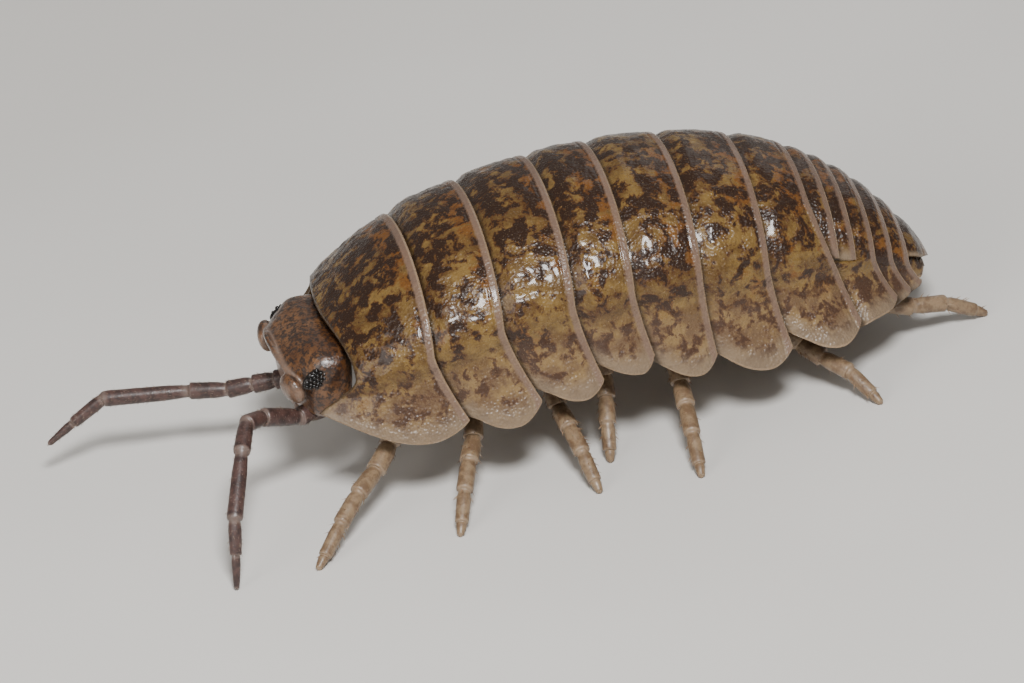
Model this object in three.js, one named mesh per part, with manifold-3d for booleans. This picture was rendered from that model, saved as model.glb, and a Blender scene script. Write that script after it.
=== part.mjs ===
// A pill woodlouse at life size, walking, in millimetres.
// +Z is up, the head points to -Y and the animal's own left side is at +X.
// The shell is laid out in a body frame whose Y axis runs along the back, and that frame is
// pitched a little head up over the floor. Legs and feelers are laid out over the floor itself.
import * as THREE from "three";
import { mergeVertices } from "three/addons/utils/BufferGeometryUtils.js";
import Module from "manifold-3d";

const wasm = await Module();
wasm.setup();

// Driving dimensions
const BODY_PITCH = THREE.MathUtils.degToRad(5.7);
const BOX_MIDDLE = { x: 0.148, y: -2.085 };
const GAP = 0.09; // between neighbouring pieces of the body

// Outer form of the body, as functions of y along the back
const WIDEST = { y: -1.7, halfWidth: 3.22 };
const REAR_LENGTH = 9.9;
const FRONT_LENGTH = 6.9;
const CREST = { y: 0.6, height: 6.03, front: 0.035, rear: 0.036, rearFourth: 0.0008 };
const BROW = { y: -4.4, drop: 0.177 }; // where the back starts to fall faster towards the head
const RIM = { level: 2.15, dip: 0.73, dipY: -5.6, dipSpread: 2.6 };
const KINK_SHARE = 0.4; // how far up from the rim to the crest a side plate starts
const KINK_V = 0.74; // the same place, as a share of the girth from crest to rim
const FLARE = { base: 0.42, hips: 0.36, hipsY: 5, hipsSpread: 1.6, tailDrop: 0.25 };

// Shell plates
// thinning: how far ahead of the hind edge a plate starts to thin. fade: how soon the next plate,
// which starts tucked under it, has come up to the outer form.
const PLATE = { gap: 0.09, thick: 0.28, edge: 0.1, thinning: 0.7, overlap: 0.45, fade: 0.42 };
const TAIL_PLATE = { gap: 0.115, thick: 0.15, edge: 0.08, thinning: 0.4, overlap: 0.26, fade: 0.3 };
const TRUNK_INSET = 0.64;

const clamp01 = (t) => Math.min(1, Math.max(0, t));
const smooth = (t) => clamp01(t) ** 2 * (3 - 2 * clamp01(t));
const mix = (a, b, t) => a + (b - a) * t;

function halfWidth(y) {
  const behind = y > WIDEST.y;
  const t = behind ? (y - WIDEST.y) / REAR_LENGTH : (WIDEST.y - y) / FRONT_LENGTH;
  const share = behind ? (1 - t ** 2.6) ** 0.77 : (1 - t ** 3.2) ** 0.5;
  return WIDEST.halfWidth * share;
}

function crestHeight(y) {
  const d = y - CREST.y;
  const drop = d < 0 ? CREST.front * d * d : CREST.rear * d * d + CREST.rearFourth * d ** 4;
  return CREST.height - drop - BROW.drop * Math.max(0, BROW.y - y) ** 1.5;
}

function flare(y) {
  const hips = FLARE.hips * Math.exp(-(((y - FLARE.hipsY) / FLARE.hipsSpread) ** 2));
  return FLARE.base + hips - FLARE.tailDrop * smooth((y - 6) / 1.2);
}

function rimHeight(y) {
  return RIM.level - RIM.dip * Math.exp(-(((y - RIM.dipY) / RIM.dipSpread) ** 2));
}

// A point of the outer form: v runs from 0 at the crest to 1 at the rim, and is negative on the right.
function form(y, v) {
  const side = Math.sign(v) || 1;
  const a = Math.abs(v);
  const w = halfWidth(y);
  const low = rimHeight(y);
  const kink = mix(low, crestHeight(y), KINK_SHARE);
  if (a <= KINK_V) {
    const turn = ((a / KINK_V) * Math.PI) / 2;
    const x = w * Math.sin(turn);
    return new THREE.Vector3(side * x, y, kink + (crestHeight(y) - kink) * Math.cos(turn));
  }
  const q = (a - KINK_V) / (1 - KINK_V);
  return new THREE.Vector3(side * (w + flare(y) * q ** 1.6), y, mix(kink, low, q));
}

// The same point moved in from the surface along its normal.
function formInset(y, v, inset) {
  const h = 0.004;
  const along = form(y + h, v).sub(form(y - h, v));
  const across = form(y, v + h).sub(form(y, v - h));
  return form(y, v).addScaledVector(across.cross(along).normalize(), -inset);
}

// Solids from closed meshes
function toSolid(geometry) {
  const bare = new THREE.BufferGeometry();
  bare.setAttribute("position", geometry.getAttribute("position"));
  if (geometry.index) bare.setIndex(geometry.index);
  const merged = mergeVertices(bare.index ? bare.toNonIndexed() : bare, 1e-4);
  const kept = [];
  const index = merged.index.array;
  for (let i = 0; i < index.length; i += 3) {
    const [a, b, c] = [index[i], index[i + 1], index[i + 2]];
    if (a !== b && b !== c && c !== a) kept.push(a, b, c);
  }
  const vertProperties = merged.attributes.position.array;
  const triVerts = new Uint32Array(kept);
  return new wasm.Manifold(new wasm.Mesh({ numProp: 3, vertProperties, triVerts }));
}

function toGeometry(solid) {
  const mesh = solid.getMesh();
  const position = new Float32Array(mesh.numVert * 3);
  for (let i = 0; i < mesh.numVert; i++) {
    const start = i * mesh.numProp;
    position.set(mesh.vertProperties.subarray(start, start + 3), i * 3);
  }
  const geometry = new THREE.BufferGeometry();
  geometry.setAttribute("position", new THREE.BufferAttribute(position, 3));
  geometry.setIndex(new THREE.BufferAttribute(mesh.triVerts, 1));
  geometry.computeVertexNormals();
  return geometry;
}

const join = (solids) => solids.reduce((all, one) => all.add(one));

function largest(solid) {
  return solid.decompose().sort((a, b) => b.volume() - a.volume())[0];
}

// A closed mesh from a grid of outer points, the matching inner points and the strip between them.
function slab(rows, columns, outer, inner) {
  const points = [];
  const at = (layer, i, j) => layer * (rows + 1) * (columns + 1) + i * (columns + 1) + j;
  for (const layer of [outer, inner])
    for (let i = 0; i <= rows; i++)
      for (let j = 0; j <= columns; j++) points.push(...layer(i / rows, j / columns).toArray());
  const faces = [];
  const quad = (a, b, c, d) => faces.push(a, b, c, a, c, d);
  for (let i = 0; i < rows; i++)
    for (let j = 0; j < columns; j++) {
      quad(at(0, i, j), at(0, i, j + 1), at(0, i + 1, j + 1), at(0, i + 1, j));
      quad(at(1, i, j), at(1, i + 1, j), at(1, i + 1, j + 1), at(1, i, j + 1));
    }
  for (let i = 0; i < rows; i++) {
    quad(at(0, i, 0), at(0, i + 1, 0), at(1, i + 1, 0), at(1, i, 0));
    quad(at(0, i, columns), at(1, i, columns), at(1, i + 1, columns), at(0, i + 1, columns));
  }
  for (let j = 0; j < columns; j++) {
    quad(at(0, 0, j), at(1, 0, j), at(1, 0, j + 1), at(0, 0, j + 1));
    quad(at(0, rows, j), at(0, rows, j + 1), at(1, rows, j + 1), at(1, rows, j));
  }
  const geometry = new THREE.BufferGeometry();
  geometry.setAttribute("position", new THREE.Float32BufferAttribute(points, 3));
  geometry.setIndex(faces);
  return outward(toSolid(geometry), geometry);
}

// Turns a mesh that faces inwards the other way round.
function outward(solid, geometry) {
  if (solid.volume() > 0) return solid;
  const index = geometry.index.array;
  for (let i = 0; i < index.length; i += 3) [index[i], index[i + 1]] = [index[i + 1], index[i]];
  return toSolid(geometry);
}

// A closed mesh through rings of points, each ring end closed by a fan.
function loft(rings) {
  const sides = rings[0].length;
  const points = rings.flat();
  const middle = (ring) =>
    ring.reduce((sum, p) => sum.add(p), new THREE.Vector3()).divideScalar(sides);
  const first = points.push(middle(rings[0])) - 1;
  const last = points.push(middle(rings[rings.length - 1])) - 1;
  const faces = [];
  for (let i = 0; i < rings.length - 1; i++)
    for (let j = 0; j < sides; j++) {
      const [a, b] = [i * sides + j, i * sides + ((j + 1) % sides)];
      faces.push(a, b, b + sides, a, b + sides, a + sides);
    }
  const end = (rings.length - 1) * sides;
  for (let j = 0; j < sides; j++) {
    faces.push(first, (j + 1) % sides, j);
    faces.push(last, end + j, end + ((j + 1) % sides));
  }
  const geometry = new THREE.BufferGeometry();
  geometry.setAttribute(
    "position",
    new THREE.Float32BufferAttribute(points.flatMap((p) => p.toArray()), 3),
  );
  geometry.setIndex(faces);
  return outward(toSolid(geometry), geometry);
}

function ellipsoid(centre, radii, turn = [0, 0, 0], around = 12, down = 8) {
  const geometry = new THREE.SphereGeometry(1, around, down);
  const rotation = new THREE.Quaternion().setFromEuler(new THREE.Euler(...turn));
  const place = new THREE.Matrix4().compose(
    new THREE.Vector3(...centre),
    rotation,
    new THREE.Vector3(...radii),
  );
  return toSolid(geometry.applyMatrix4(place));
}

// A limb article: a round shaft between two points with softly rounded ends.
function article(from, to, fromRadius, toRadius, sides = 7) {
  const axis = new THREE.Vector3().subVectors(to, from);
  const length = axis.length();
  const profile = [
    new THREE.Vector2(0, -0.55 * fromRadius),
    new THREE.Vector2(fromRadius, 0.1 * fromRadius),
    new THREE.Vector2(toRadius, length - 0.1 * toRadius),
    new THREE.Vector2(0, length + 0.55 * toRadius),
  ];
  const geometry = new THREE.LatheGeometry(profile, sides);
  const turn = new THREE.Quaternion().setFromUnitVectors(
    new THREE.Vector3(0, 1, 0),
    axis.normalize(),
  );
  geometry.applyMatrix4(new THREE.Matrix4().makeRotationFromQuaternion(turn));
  geometry.translate(from.x, from.y, from.z);
  return toSolid(geometry);
}

// Frames: the body frame is pitched over the floor frame.
const pitched = new THREE.Matrix4().makeRotationX(-BODY_PITCH);
const overFloor = (point) => point.clone().applyMatrix4(pitched);
const pitchSolid = (solid) => solid.transform(pitched.toArray());

// Shell plates, the head shield's edge to the tail
// hind: where the hind edge crosses the crest. sweep: how far its lower corner lies further back.
// reach: how far down the side plate goes, with 1 at the rim of the outer form.
// frontCut, hindCut: how much of that the rounded lower corners leave out.
const PEREONITES = [
  { hind: -4.79, sweep: 0.66, reach: 1.035, frontCut: 0.13, hindCut: 0.05 },
  { hind: -3.15, sweep: 0.66, reach: 1.07, frontCut: 0.16, hindCut: 0.06 },
  { hind: -1.47, sweep: 0.5, reach: 1.045, frontCut: 0.15, hindCut: 0.06 },
  { hind: -0.06, sweep: 0.42, reach: 0.995, frontCut: 0.13, hindCut: 0.06 },
  { hind: 1.57, sweep: 0.16, reach: 1.04, frontCut: 0.12, hindCut: 0.06 },
  { hind: 3.21, sweep: 0.3, reach: 1.07, frontCut: 0.15, hindCut: 0.06 },
  { hind: 4.48, sweep: 0.86, sweepFrom: 0.3, reach: 1.045, frontCut: 0.16, hindCut: 0.07 },
];
const PLEONITES = [
  { hind: 4.98, sweep: 0.05, reach: 0.64 },
  { hind: 5.42, sweep: 0.05, reach: 0.66 },
  { hind: 5.94, sweep: 0.55, reach: 1 },
  { hind: 6.42, sweep: 0.46, reach: 1 },
  { hind: 6.86, sweep: 0.36, reach: 1 },
];
const SHIELD_FRONT = { crest: -6.9, recess: 0.33, corner: -0.53, edge: 0.15 };
const TAIL_TIP = 7.52;

// A plate that wraps the whole back. Rows run from its front to its hind edge, columns from right
// to left. beforeAt gives the hind edge of the plate that it starts under.
function backPlate({ frontAt, hindAt, beforeAt, reachAt, sheet = PLATE, columns = 20 }) {
  const lap = (v) => (beforeAt ? beforeAt(v) - frontAt(v) : 0);
  const open = (v) => hindAt(v) - frontAt(v) - lap(v);
  const midLine = open(0);
  const wanted = [0.5 * sheet.fade, sheet.fade, midLine - sheet.thinning, midLine - 0.4 * sheet.thinning];
  const shares = wanted.filter((d, i) => i < 2 || d > sheet.fade + 0.06).map((d) => d / midLine);
  const rowEnds = [...(beforeAt ? [-1] : []), 0, ...shares, 1];
  const rows = rowEnds.length - 1;
  const thinned = (left) => mix(sheet.edge, sheet.thick, smooth(left / sheet.thinning));
  const liftAt = (d, v) => {
    if (!beforeAt) return 0;
    if (d < lap(v)) return sheet.gap + thinned(lap(v) - d);
    const fade = Math.min(sheet.fade, 0.8 * open(v));
    return (sheet.gap + sheet.edge) * (1 - smooth((d - lap(v)) / fade));
  };
  const thicknessAt = (d, v) => {
    const frontEdge = beforeAt ? sheet.edge : SHIELD_FRONT.edge;
    const front = mix(frontEdge, sheet.thick, smooth(d / sheet.thinning));
    return Math.min(thinned(lap(v) + open(v) - d), front);
  };
  const layer = (depthAt) => (i, u) => {
    const share = rowEnds[Math.round(i * rows)];
    const along = (v) => (share < 0 ? 0 : lap(v) + share * open(v));
    const s = along(0) / (lap(0) + open(0));
    const v = (2 * u - 1) * reachAt(s);
    const d = along(v);
    return formInset(frontAt(v) + d, v, depthAt(d, v));
  };
  const lower = (d, v) => liftAt(d, v) + thicknessAt(d, v);
  return slab(rows, columns, layer(liftAt), layer(lower));
}

const hindEdge = (plate) => (v) => plate.hind + plate.sweep * sideShare(v, plate.sweepFrom) ** 1.4;

const SWEEP_FROM = 0.67; // share of the girth at which the hind edges start to sweep back
const sideShare = (v, from = SWEEP_FROM) => clamp01((Math.abs(v) - from) / (1 - from));

function cornerCuts({ reach, frontCut, hindCut }) {
  return (s) => {
    const front = frontCut * (1 - clamp01(s / 0.7)) ** 2;
    const hind = hindCut * clamp01((s - 0.7) / 0.3) ** 2;
    return reach - front - hind;
  };
}

function pereonite(number) {
  const plate = PEREONITES[number - 1];
  const hindAt = hindEdge(plate);
  const reachAt = cornerCuts(plate);
  if (number === 1) {
    const frontAt = (v) => {
      const hollow = SHIELD_FRONT.recess * smooth(Math.abs(v) / 0.62);
      const horn = (SHIELD_FRONT.corner - SHIELD_FRONT.recess) * smooth((Math.abs(v) - 0.62) / 0.3);
      return SHIELD_FRONT.crest + hollow + horn;
    };
    return backPlate({ frontAt, hindAt, reachAt, columns: 26 });
  }
  const beforeAt = hindEdge(PEREONITES[number - 2]);
  const frontAt = (v) => beforeAt(v) - PLATE.overlap + 0.2 * sideShare(v);
  return backPlate({ frontAt, hindAt, beforeAt, reachAt });
}

const SIDE_TUCK = { from: 0.67, over: 0.09 };

function pleonite(number) {
  const sheet = TAIL_PLATE;
  const plate = PLEONITES[number - 1];
  const last = hindEdge(PEREONITES[6]);
  const ahead = number === 1 ? last : hindEdge(PLEONITES[number - 2]);
  // The third ring is the first with side plates, and they start under the last big side plate.
  const tuck = (v) => (number === 3 ? smooth((Math.abs(v) - SIDE_TUCK.from) / SIDE_TUCK.over) : 0);
  const beforeAt = (v) => mix(ahead(v), last(v), tuck(v));
  const hindAt = hindEdge(plate);
  const frontAt = (v) => beforeAt(v) - sheet.overlap;
  const side = plate.reach === 1;
  const reachAt = cornerCuts({ reach: plate.reach, frontCut: 0, hindCut: side ? 0.05 : 0 });
  return backPlate({ frontAt, hindAt, beforeAt, reachAt, sheet, columns: number === 3 ? 20 : 16 });
}

function pleotelson() {
  const sheet = TAIL_PLATE;
  const beforeAt = hindEdge(PLEONITES[4]);
  const frontAt = (v) => beforeAt(v) - sheet.overlap;
  const hindAt = () => TAIL_TIP;
  const reachAt = (s) => 0.62 - 0.12 * s - 0.18 * clamp01((s - 0.7) / 0.3) ** 2;
  return backPlate({ frontAt, hindAt, beforeAt, reachAt, sheet, columns: 12 });
}

const UROPOD = { front: 6.82, hind: 7.44, frontInset: 0.37, hindInset: 0.25, thick: 0.24 };

// A flat outer branch that fills the corner between the last side plate and the tail shield.
function uropod(side) {
  const points = [];
  for (const s of [0, 0.5, 1])
    for (const u of [0, 0.33, 0.67, 1])
      for (const depth of [0, UROPOD.thick]) {
        const v = mix(mix(0.56, 0.4, s), 0.9, u);
        const y = mix(UROPOD.front, UROPOD.hind - 0.12 * (2 * u - 1) ** 2, s);
        const inset = mix(UROPOD.frontInset, UROPOD.hindInset, s);
        points.push(formInset(y, side * v, inset + depth).toArray());
      }
  return wasm.Manifold.hull(points);
}

// Trunk: the soft body under the plates, with a ridge under each body ring
const TRUNK = { front: -6.15, hind: 5.0, belly: 0.62 };

function trunk(grow = 0) {
  const stations = 20;
  const arch = 8;
  const floorPoints = 7;
  const rings = [];
  for (let i = 0; i <= stations; i++) {
    const y = mix(TRUNK.front - grow, TRUNK.hind + grow, i / stations);
    const ring = [];
    for (let j = 0; j <= arch; j++) {
      const v = mix(-KINK_V, KINK_V, j / arch);
      ring.push(formInset(y, v, TRUNK_INSET - grow));
    }
    const left = ring[arch];
    const ridge = 0.1 * Math.cos((2 * Math.PI * (y - 0.75)) / 1.6);
    for (let j = 1; j < floorPoints; j++) {
      const t = j / floorPoints;
      const sag = (TRUNK.belly + ridge + grow) * Math.sin(Math.PI * t) ** 0.6;
      ring.push(new THREE.Vector3(mix(left.x, -left.x, t), y, left.z - sag));
    }
    rings.push(ring);
  }
  return loft(rings);
}

// Head: a profile seen from the side, carried sideways and drawn in towards the cheeks
const HEAD = { halfWidth: 1.86, middle: [-7.2, 2.2], bow: 0.13, squareness: 4.2, taper: 0.1 };
const HEAD_TAPER_FROM = -7.0;
const HEAD_PROFILE = [
  [-6.35, 2.2],
  [-6.45, 2.95],
  [-6.9, 3.07],
  [-7.45, 3.0],
  [-7.95, 2.68],
  [-8.03, 2.45],
  [-7.9, 2.2],
  [-7.84, 1.75],
  [-7.65, 1.35],
  [-7.05, 1.2],
  [-6.5, 1.5],
];

function headForm(grow = 0) {
  const outline = new THREE.CatmullRomCurve3(
    HEAD_PROFILE.map(([y, z]) => new THREE.Vector3(0, y, z)),
    true,
    "catmullrom",
    0.5,
  );
  const around = 18;
  const stations = 14;
  const rings = [];
  const [my, mz] = HEAD.middle;
  for (let i = 1; i < stations; i++) {
    const angle = mix(-Math.PI / 2, Math.PI / 2, i / stations);
    const x = HEAD.halfWidth * Math.sin(angle);
    const share = (1 - Math.abs(Math.sin(angle)) ** HEAD.squareness) ** (1 / HEAD.squareness);
    const ring = [];
    for (let j = 0; j < around; j++) {
      const p = outline.getPoint(j / around);
      const out = new THREE.Vector3(0, p.y - my, p.z - mz);
      const size = out.length() * share + grow;
      out.setLength(size);
      ring.push(new THREE.Vector3(x * (1 + grow / HEAD.halfWidth), my + out.y, mz + out.z));
    }
    for (const p of ring) {
      p.x *= 1 - HEAD.taper * smooth((HEAD_TAPER_FROM - p.y) / 0.7);
      p.y += HEAD.bow * x * x * smooth((my - p.y) / 0.9);
    }
    rings.push(ring);
  }
  return loft(rings);
}

const HEAD_RIDGE = { halfWidth: 1.66, y: -8.0, z: 2.62, droop: 0.17 };

// The raised front edge of the head, and the lobe over each feeler's socket
function headRidge() {
  const steps = 12;
  const rings = [];
  for (let i = 0; i <= steps; i++) {
    const t = mix(-1, 1, i / steps);
    const x = HEAD_RIDGE.halfWidth * t;
    const y = HEAD_RIDGE.y + HEAD.bow * x * x;
    const z = HEAD_RIDGE.z - HEAD_RIDGE.droop * x * x;
    const tall = 0.13 + 0.1 * Math.exp(-((t / 0.32) ** 2));
    const ends = Math.sqrt(Math.max(0.15, 1 - t ** 6));
    const ring = [];
    for (let j = 0; j < 6; j++) {
      const angle = (2 * Math.PI * j) / 6;
      const lean = tall * ends * Math.sin(angle);
      ring.push(new THREE.Vector3(x, y + 0.14 * ends * Math.cos(angle) - 0.4 * lean, z + lean));
    }
    rings.push(ring);
  }
  return loft(rings);
}

const EYE = { x: 1.69, y: -7.33, z: 2.46, long: 0.35, tall: 0.19, deep: 0.15 };

function eyeBase(side, grow) {
  const radii = [EYE.deep + grow, EYE.long + grow, EYE.tall + grow];
  return ellipsoid([side * EYE.x, EYE.y, EYE.z], radii, [0.42, 0, side * 0.25], 10, 6);
}

// Facets of the eye, in rows that follow its oval
function eye(side) {
  const pieces = [eyeBase(side, 0)];
  const turn = new THREE.Euler(0.42, 0, side * 0.25);
  for (let row = -1; row <= 1; row++)
    for (let k = -3; k <= 3; k++) {
      const along = (k + (row % 2 ? 0.5 : 0)) * 0.12;
      const up = row * 0.115;
      const room = 1 - (along / EYE.long) ** 2 - (up / EYE.tall) ** 2;
      if (room < 0.02) continue;
      const out = side * EYE.deep * Math.sqrt(room);
      const spot = new THREE.Vector3(out, along, up).applyEuler(turn);
      const centre = [side * EYE.x + spot.x, EYE.y + spot.y, EYE.z + spot.z];
      pieces.push(toSolid(new THREE.OctahedronGeometry(0.066).translate(...centre)));
    }
  return join(pieces);
}

function head() {
  const lobes = [-1, 1].map((side) =>
    ellipsoid([side * 1.42, -7.84, 2.12], [0.42, 0.2, 0.36], [0.25, 0, side * 0.35], 8, 6),
  );
  const whole = join([headForm(), headRidge(), ...lobes]);
  const sockets = join([-1, 1].map((side) => eyeBase(side, GAP * 0.9)));
  return largest(whole.subtract(sockets));
}

function mouthparts() {
  const palps = [-1, 1].map((side) =>
    ellipsoid([side * 0.34, -7.1, 1.0], [0.4, 0.5, 0.26], [0.2, 0, side * 0.12], 8, 6),
  );
  const jaws = [-1, 1].map((side) =>
    ellipsoid([side * 0.45, -7.4, 1.12], [0.28, 0.26, 0.3], [0, 0, 0], 8, 6),
  );
  return largest(join([...palps, ...jaws]).subtract(headForm(GAP)));
}

// Feelers: joints over the floor, from the socket to the tip. Two short articles,
// three longer ones and a lash of two.
const FEELER_RADII = [0.25, 0.25, 0.25, 0.24, 0.24, 0.24, 0.17, 0.1];
const FEELERS = {
  left: [
    [1.0, -6.9, 2.1],
    [1.35, -7.55, 2.1],
    [1.75, -8.42, 2.54],
    [2.15, -8.87, 2.7],
    [3.05, -9.2, 2.5],
    [4.25, -9.8, 1.5],
    [4.55, -9.96, 0.78],
    [4.76, -10.11, 0.07],
  ],
  right: [
    [-0.9, -6.9, 1.95],
    [-1.15, -7.63, 1.86],
    [-1.3, -8.13, 1.81],
    [-1.5, -8.71, 1.73],
    [-1.8, -9.55, 1.78],
    [-2.3, -11.52, 1.88],
    [-2.42, -12.3, 1.4],
    [-2.5, -12.94, 0.98],
  ],
};

function feeler(name, grownHead) {
  const joints = FEELERS[name].map((p) => new THREE.Vector3(...p));
  const pieces = [];
  for (let i = 0; i < joints.length - 1; i++)
    pieces.push(article(joints[i], joints[i + 1], FEELER_RADII[i], FEELER_RADII[i + 1]));
  const whole = join(pieces);
  return largest(aboveFloor(whole.subtract(grownHead)));
}

function aboveFloor(solid) {
  const room = new THREE.BoxGeometry(60, 60, 40).translate(0, 0, 20);
  return solid.intersect(toSolid(room));
}

// Walking legs. foot: where it stands on the floor. lean: how far towards the foot, along the body,
// the hip and the knee already lie, and how high over the floor.
const LEG_RADII = [0.28, 0.28, 0.28, 0.27, 0.26, 0.25, 0.2, 0.13];
const LEG_SHARES = [0, 0.2, 0.34, 0.48, 0.62, 0.78, 0.94, 1];
const FORWARD = { along: [0.22, 0.62], heights: [1.42, 0.86] };
const BACKWARD = { along: [0.5, 0.8], heights: [1.05, 0.66] };
const LEGS = {
  left: [
    { foot: [4.81, -8.2], lean: FORWARD },
    { foot: [4.95, -4.88], lean: FORWARD },
    { foot: [4.62, -1.5], lean: FORWARD },
    { foot: [3.34, -0.93], lean: FORWARD },
    { foot: [5.1, 0.8], lean: FORWARD },
    { foot: [3.86, 5.41], lean: BACKWARD },
    { foot: [0.98, 8.75], lean: BACKWARD },
  ],
  right: [
    { foot: [-4.4, -7.0], lean: FORWARD },
    { foot: [-4.75, -5.25], lean: FORWARD },
    { foot: [-4.8, -2.6], lean: FORWARD },
    { foot: [-4.75, -0.3], lean: FORWARD },
    { foot: [-4.6, 1.5], lean: BACKWARD },
    { foot: [-4.2, 4.2], lean: BACKWARD },
    { foot: [-2.9, 7.4], lean: BACKWARD },
  ],
};
const LEG_ROOT = { x: 1.5, ys: [-5.35, -3.75, -2.2, -0.75, 0.85, 2.6, 4.0] };
const BENDS_ACROSS = [0.3, 0.66];

function leg(side, number, grownTrunk) {
  const sign = side === "left" ? 1 : -1;
  const { foot, lean } = LEGS[side][number - 1];
  const rootY = LEG_ROOT.ys[number - 1];
  const belly = form(rootY, KINK_V).z - TRUNK.belly;
  const root = overFloor(new THREE.Vector3(sign * LEG_ROOT.x, rootY, belly + 0.3));
  const bends = BENDS_ACROSS.map(
    (across, i) =>
      new THREE.Vector3(
        mix(root.x, foot[0], across),
        mix(root.y, foot[1], lean.along[i]),
        lean.heights[i],
      ),
  );
  const sole = new THREE.Vector3(foot[0], foot[1], 0.05);
  const path = new THREE.CatmullRomCurve3([root, ...bends, sole]);
  const joints = LEG_SHARES.map((t) => path.getPointAt(t));
  const pieces = [];
  for (let i = 0; i < joints.length - 1; i++)
    pieces.push(article(joints[i], joints[i + 1], LEG_RADII[i], LEG_RADII[i + 1]));
  return largest(aboveFloor(join(pieces).subtract(grownTrunk)));
}

// Gill flaps under the tail, in overlapping pairs on a low base
function pleopods() {
  const base = ellipsoid([0, 5.92, 2.72], [1.15, 0.8, 0.32], [-0.3, 0, 0], 12, 6);
  const flaps = [];
  for (let pair = 0; pair < 5; pair++)
    for (const side of [-1, 1]) {
      const y = 5.42 + 0.32 * pair;
      const width = 0.66 - 0.08 * pair;
      const z = 2.5 - 0.08 * pair;
      flaps.push(ellipsoid([side * width * 0.78, y, z], [width, 0.3, 0.13], [-0.5, side * 0.18, 0], 7, 5));
    }
  return largest(join([base, ...flaps]));
}

// Materials, by finish
const finishes = {
  shell: { color: 0x6b5238, roughness: 0.32 },
  flesh: { color: 0xb09a7c, roughness: 0.55 },
  limb: { color: 0x9a8066, roughness: 0.5 },
  feeler: { color: 0x5a4238, roughness: 0.5 },
  eye: { color: 0x0d0b0a, roughness: 0.15 },
};

const woodlouse = new THREE.Group();

function addNode(name, solid, finish) {
  const material = new THREE.MeshStandardMaterial({ ...finishes[finish], metalness: 0 });
  const mesh = new THREE.Mesh(toGeometry(solid), material);
  mesh.name = name;
  mesh.position.set(-BOX_MIDDLE.x, -BOX_MIDDLE.y, 0);
  woodlouse.add(mesh);
}

for (let n = 1; n <= 7; n++) addNode(`pereonite_${n}`, pitchSolid(pereonite(n)), "shell");
for (let n = 1; n <= 5; n++) addNode(`pleonite_${n}`, pitchSolid(pleonite(n)), "shell");
addNode("pleotelson", pitchSolid(pleotelson()), "shell");
addNode("uropod_left", pitchSolid(uropod(1)), "shell");
addNode("uropod_right", pitchSolid(uropod(-1)), "shell");
addNode("trunk", pitchSolid(trunk()), "flesh");
addNode("pleopods", pitchSolid(pleopods()), "flesh");
addNode("head", pitchSolid(head()), "shell");
addNode("eye_left", pitchSolid(eye(1)), "eye");
addNode("eye_right", pitchSolid(eye(-1)), "eye");
addNode("mouthparts", pitchSolid(mouthparts()), "flesh");

const grownHead = pitchSolid(join([headForm(GAP)]));
const grownTrunk = pitchSolid(trunk(GAP));
for (const side of ["left", "right"]) {
  addNode(`antenna_${side}`, feeler(side, grownHead), "feeler");
  for (let n = 1; n <= 7; n++) addNode(`leg_${side}_${n}`, leg(side, n, grownTrunk), "limb");
}

export default woodlouse;
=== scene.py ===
import math

import bpy
import numpy as np
from mathutils import Matrix, Vector, noise


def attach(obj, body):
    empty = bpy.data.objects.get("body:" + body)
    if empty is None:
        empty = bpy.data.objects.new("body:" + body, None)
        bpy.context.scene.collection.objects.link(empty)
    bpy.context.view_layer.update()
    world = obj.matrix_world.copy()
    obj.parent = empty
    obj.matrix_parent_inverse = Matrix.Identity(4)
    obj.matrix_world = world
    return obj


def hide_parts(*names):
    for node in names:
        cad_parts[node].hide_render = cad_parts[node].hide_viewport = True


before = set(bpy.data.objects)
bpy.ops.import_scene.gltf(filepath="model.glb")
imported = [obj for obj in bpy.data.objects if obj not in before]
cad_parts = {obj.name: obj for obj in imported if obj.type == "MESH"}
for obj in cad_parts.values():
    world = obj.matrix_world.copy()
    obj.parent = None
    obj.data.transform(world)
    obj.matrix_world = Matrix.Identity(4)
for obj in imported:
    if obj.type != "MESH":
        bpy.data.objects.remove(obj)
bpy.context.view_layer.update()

# Back plates: seven arched rings over the walking legs, each a hard, thin, glossy cuticle sheet.
# Each starts tucked under the ring ahead of it and ends in a rounded lobe over the legs. They
# are swept along one outer form of the body, worked in millimetres with the head towards -y.
MM = 0.001
PITCH = math.radians(-5.7)
BOX_MIDDLE = np.array([0.148, -2.085, 0.0])
WIDEST = dict(y=-1.7, half=3.22, tail_length=9.9, head_length=6.9)
CREST = dict(y=0.6, height=6.03, ahead=0.035, behind=0.036, end=0.0008)
BROW = dict(y=-4.4, drop=0.177)
RIM = dict(height=2.15, dip=0.73, y=-5.6, spread=2.6)
FLARE = dict(start=0.42, more=0.36, y=5, spread=1.6, less=0.25, less_from=6, less_over=1.2)
# how high up the side a side plate starts, and how far round the arch that is
KINK_SHARE, KINK_V = 0.4, 0.74


def smooth(t):
    t = np.clip(t, 0.0, 1.0)
    return t * t * (3 - 2 * t)


def mix(a, b, t):
    return a + (b - a) * t


def half_width(y):
    behind = np.clip((y - WIDEST["y"]) / WIDEST["tail_length"], 0, 0.999)
    ahead = np.clip((WIDEST["y"] - y) / WIDEST["head_length"], 0, 0.999)
    tail, front = (1 - behind**2.6) ** 0.77, (1 - ahead**3.2) ** 0.5
    return WIDEST["half"] * np.where(y > WIDEST["y"], tail, front)


def crest_height(y):
    d = y - CREST["y"]
    behind = CREST["behind"] * d * d + CREST["end"] * d**4
    drop = np.where(d < 0, CREST["ahead"] * d * d, behind)
    return CREST["height"] - drop - BROW["drop"] * np.maximum(0, BROW["y"] - y) ** 1.5


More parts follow.
